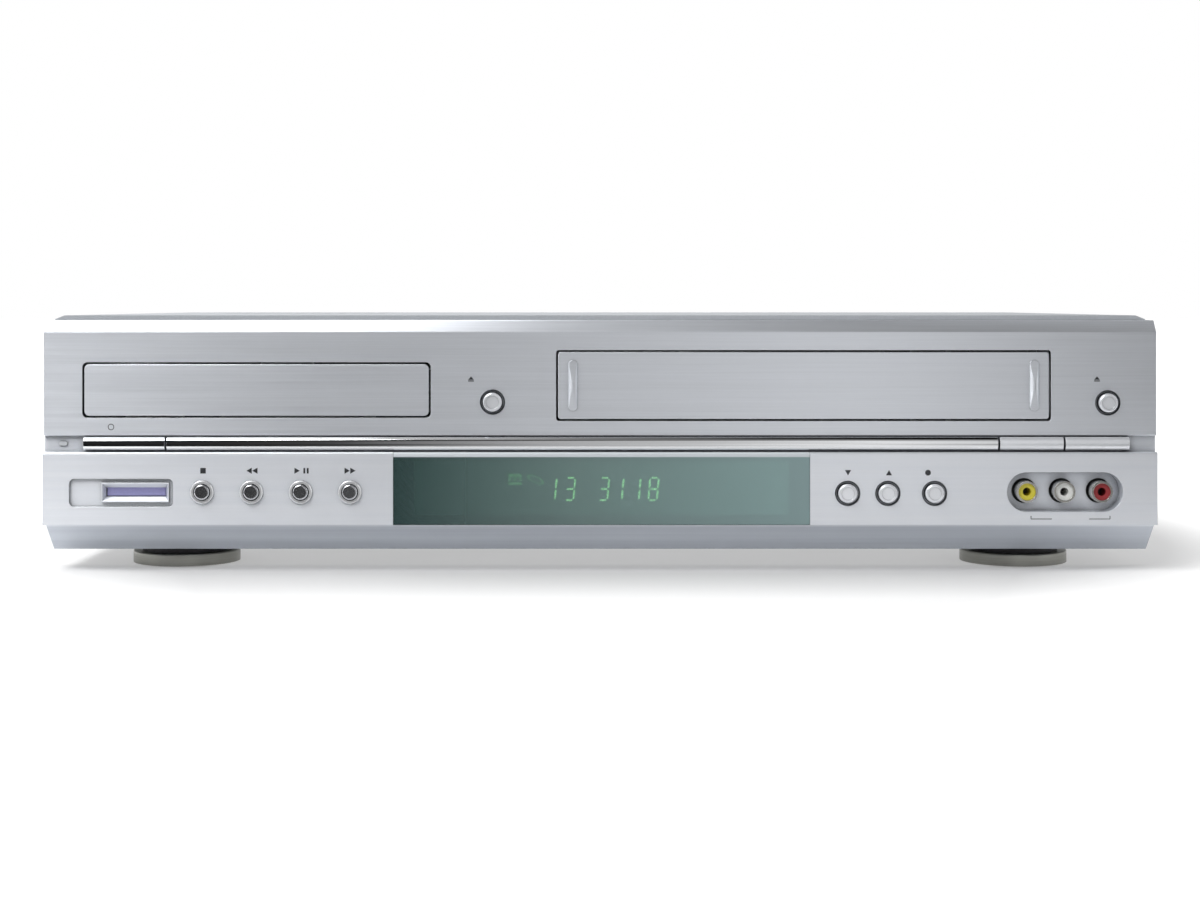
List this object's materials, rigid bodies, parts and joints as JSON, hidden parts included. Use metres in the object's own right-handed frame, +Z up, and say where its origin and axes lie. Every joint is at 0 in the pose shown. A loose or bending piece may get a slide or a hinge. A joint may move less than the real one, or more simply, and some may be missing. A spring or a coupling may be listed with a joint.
{
  "type": "disc and cassette player",
  "caption": "Low wide silver player with a disc drawer, a cassette door, round keys, a display window, sockets and four round feet.",
  "frame": {"origin": "centre of the part's bounding box at the level of the feet's undersides", "axes": "+X to the right seen from the front, +Y from the front to the back, +Z up"},
  "size_m": [0.43, 0.265, 0.099],
  "materials": {
    "silver_plastic": "brushed silver paint on moulded plastic",
    "grey_paint": "fine-grained grey paint on folded steel",
    "zinc_steel": "bright zinc-plated sheet",
    "chrome": "polished",
    "window_tint": "tinted clear plastic",
    "tube_glass": "dark display glass",
    "clear_plastic": "milky light guide",
    "silver_key": "silver paint",
    "dark_key": "glossy, near black",
    "foot_plastic": "black",
    "foot_metal": "metallic grey plating",
    "black_plastic": "black moulding",
    "grey_plastic": "grey moulding",
    "violet_plastic": "violet-grey flap",
    "shell_metal": "nickel-plated",
    "yellow_plastic": "yellow moulding",
    "white_plastic": "white moulding",
    "red_plastic": "red moulding",
    "green_board": "board with solder mask",
    "parts_mix": "dark sleeves and cores",
    "rubber_belt": "square-cut rubber",
    "machined_alloy": "turned and polished",
    "white_acetal": "white moulding"
  },
  "bodies": {
    "case": {"feet": "foot_plastic", "foot_rings": "foot_metal", "bottom_chassis": "zinc_steel", "top_cover": "grey_paint", "rear_panel": "zinc_steel", "case_screws": "zinc_steel", "front_fascia": "silver_plastic", "chrome_trim": "chrome", "display_window": "window_tint", "display_tube": "tube_glass", "standby_lamp": "clear_plastic", "button_rings": "chrome", "card_socket": "grey_plastic", "jack_shells": "shell_metal", "yellow_jack_inserts": "yellow_plastic", "white_jack_inserts": "white_plastic", "red_jack_inserts": "red_plastic", "jack_blocks": "black_plastic", "ac_inlet": "black_plastic", "rf_tuner": "zinc_steel", "tact_switches": "black_plastic", "front_circuit_boards": "green_board", "main_circuit_board": "green_board", "power_board": "green_board", "power_parts": "parts_mix", "loader_frame": "black_plastic", "loader_belt": "rubber_belt", "loader_motor": "zinc_steel", "clamp_bridge": "zinc_steel", "deck_plate": "zinc_steel", "carriage_frame": "zinc_steel", "lower_drum": "machined_alloy"},
    "drawer": {"disc_tray": "black_plastic", "tray_door": "silver_plastic"},
    "gear": {"loading_gear": "white_acetal"},
    "clamp": {"disc_clamp": "white_acetal"},
    "traverse": {"traverse_plate": "zinc_steel", "pickup_rails": "machined_alloy"},
    "spindle": {"turntable": "black_plastic"},
    "pickup": {"laser_pickup": "grey_plastic"},
    "cassette_flap": {"cassette_door": "silver_plastic"},
    "slider": {"carriage_slider": "zinc_steel"},
    "holder": {"cassette_holder": "zinc_steel"},
    "drum": {"head_drum": "machined_alloy"},
    "capstan": {"capstan": "machined_alloy"},
    "supply": {"supply_reel": "white_acetal"},
    "takeup": {"takeup_reel": "white_acetal"},
    "card_flap": {"card_door": "violet_plastic"},
    "stop_key": {"stop_button": "dark_key"},
    "rewind_key": {"rewind_button": "dark_key"},
    "play_key": {"play_button": "dark_key"},
    "forward_key": {"forward_button": "dark_key"},
    "channel_down_key": {"channel_down_button": "silver_key"},
    "channel_up_key": {"channel_up_button": "silver_key"},
    "record_key": {"record_button": "silver_key"},
    "open_close_key": {"open_close_button": "silver_key"},
    "eject_key": {"eject_button": "silver_key"},
    "power_key": {"power_button": "chrome"},
    "dvd_select_key": {"dvd_select_button": "silver_key"},
    "vcr_select_key": {"vcr_select_button": "silver_key"}
  },
  "joints": [
    {"name": "drawer_slide", "type": "slide", "parent": "case", "child": "drawer", "axis": [0, -1, 0], "range_m": [0, 0.135]},
    {"name": "loading_gear_turn", "type": "hinge", "parent": "case", "child": "gear", "pos_m": [-0.17875, -0.0979, 0.056], "axis": [0, 0, 1], "range_deg": [0, 740]},
    {"name": "clamp_turn", "type": "hinge", "parent": "case", "child": "clamp", "pos_m": [-0.13275, -0.0519, 0.077], "axis": [0, 0, 1], "continuous": true},
    {"name": "traverse_tilt", "type": "hinge", "parent": "case", "child": "traverse", "pos_m": [-0.13275, 0.0451, 0.0545], "axis": [1, 0, 0], "range_deg": [0, 5]},
    {"name": "spindle_turn", "type": "hinge", "parent": "traverse", "child": "spindle", "pos_m": [-0.13275, -0.0519, 0.06], "axis": [0, 0, 1], "continuous": true},
    {"name": "pickup_slide", "type": "slide", "parent": "traverse", "child": "pickup", "axis": [0, 1, 0], "range_m": [0, 0.034]},
    {"name": "cassette_door_hinge", "type": "hinge", "parent": "case", "child": "cassette_flap", "pos_m": [0.07865, -0.1247, 0.0882], "axis": [1, 0, 0], "range_deg": [0, 88], "stiffness_Nm_per_rad": 0.004},
    {"name": "carriage_slide", "type": "slide", "parent": "case", "child": "slider", "axis": [0, 1, 0], "range_m": [0, 0.048]},
    {"name": "holder_lower", "type": "slide", "parent": "slider", "child": "holder", "axis": [0, 0, -1], "range_m": [0, 0.022]},
    {"name": "drum_turn", "type": "hinge", "parent": "case", "child": "drum", "pos_m": [0.07865, 0.0811, 0.0342], "axis": [-0.1045, 0, 0.9945], "continuous": true},
    {"name": "capstan_turn", "type": "hinge", "parent": "case", "child": "capstan", "pos_m": [0.13665, 0.0571, 0.0342], "axis": [0, 0, 1], "continuous": true},
    {"name": "supply_reel_turn", "type": "hinge", "parent": "case", "child": "supply", "pos_m": [0.0324, -0.0089, 0.0342], "axis": [0, 0, 1], "continuous": true},
    {"name": "takeup_reel_turn", "type": "hinge", "parent": "case", "child": "takeup", "pos_m": [0.1249, -0.0089, 0.0342], "axis": [0, 0, 1], "continuous": true},
    {"name": "card_door_hinge", "type": "hinge", "parent": "case", "child": "card_flap", "pos_m": [-0.17925, -0.1277, 0.0328], "axis": [1, 0, 0], "range_deg": [0, 80], "stiffness_Nm_per_rad": 0.0002},
    {"name": "stop_press", "type": "slide", "parent": "case", "child": "stop_key", "axis": [0, 1, 0], "range_m": [0, 0.0006], "stiffness_N_per_m": 300},
    {"name": "rewind_press", "type": "slide", "parent": "case", "child": "rewind_key", "axis": [0, 1, 0], "range_m": [0, 0.0006], "stiffness_N_per_m": 300},
    {"name": "play_press", "type": "slide", "parent": "case", "child": "play_key", "axis": [0, 1, 0], "range_m": [0, 0.0006], "stiffness_N_per_m": 300},
    {"name": "forward_press", "type": "slide", "parent": "case", "child": "forward_key", "axis": [0, 1, 0], "range_m": [0, 0.0006], "stiffness_N_per_m": 300},
    {"name": "channel_down_press", "type": "slide", "parent": "case", "child": "channel_down_key", "axis": [0, 1, 0], "range_m": [0, 0.0006], "stiffness_N_per_m": 300},
    {"name": "channel_up_press", "type": "slide", "parent": "case", "child": "channel_up_key", "axis": [0, 1, 0], "range_m": [0, 0.0006], "stiffness_N_per_m": 300},
    {"name": "record_press", "type": "slide", "parent": "case", "child": "record_key", "axis": [0, 1, 0], "range_m": [0, 0.0006], "stiffness_N_per_m": 300},
    {"name": "open_close_press", "type": "slide", "parent": "case", "child": "open_close_key", "axis": [0, 1, 0], "range_m": [0, 0.0006], "stiffness_N_per_m": 300},
    {"name": "eject_press", "type": "slide", "parent": "case", "child": "eject_key", "axis": [0, 1, 0], "range_m": [0, 0.0006], "stiffness_N_per_m": 300},
    {"name": "power_press", "type": "slide", "parent": "case", "child": "power_key", "axis": [0, 1, 0], "range_m": [0, 0.0006], "stiffness_N_per_m": 300},
    {"name": "dvd_select_press", "type": "slide", "parent": "case", "child": "dvd_select_key", "axis": [0, 1, 0], "range_m": [0, 0.0006], "stiffness_N_per_m": 300},
    {"name": "vcr_select_press", "type": "slide", "parent": "case", "child": "vcr_select_key", "axis": [0, 1, 0], "range_m": [0, 0.0006], "stiffness_N_per_m": 300}
  ],
  "couplings": [
    {"joint": "loading_gear_turn", "follows": "drawer_slide", "rad_per_m": 95.238}
  ]
}
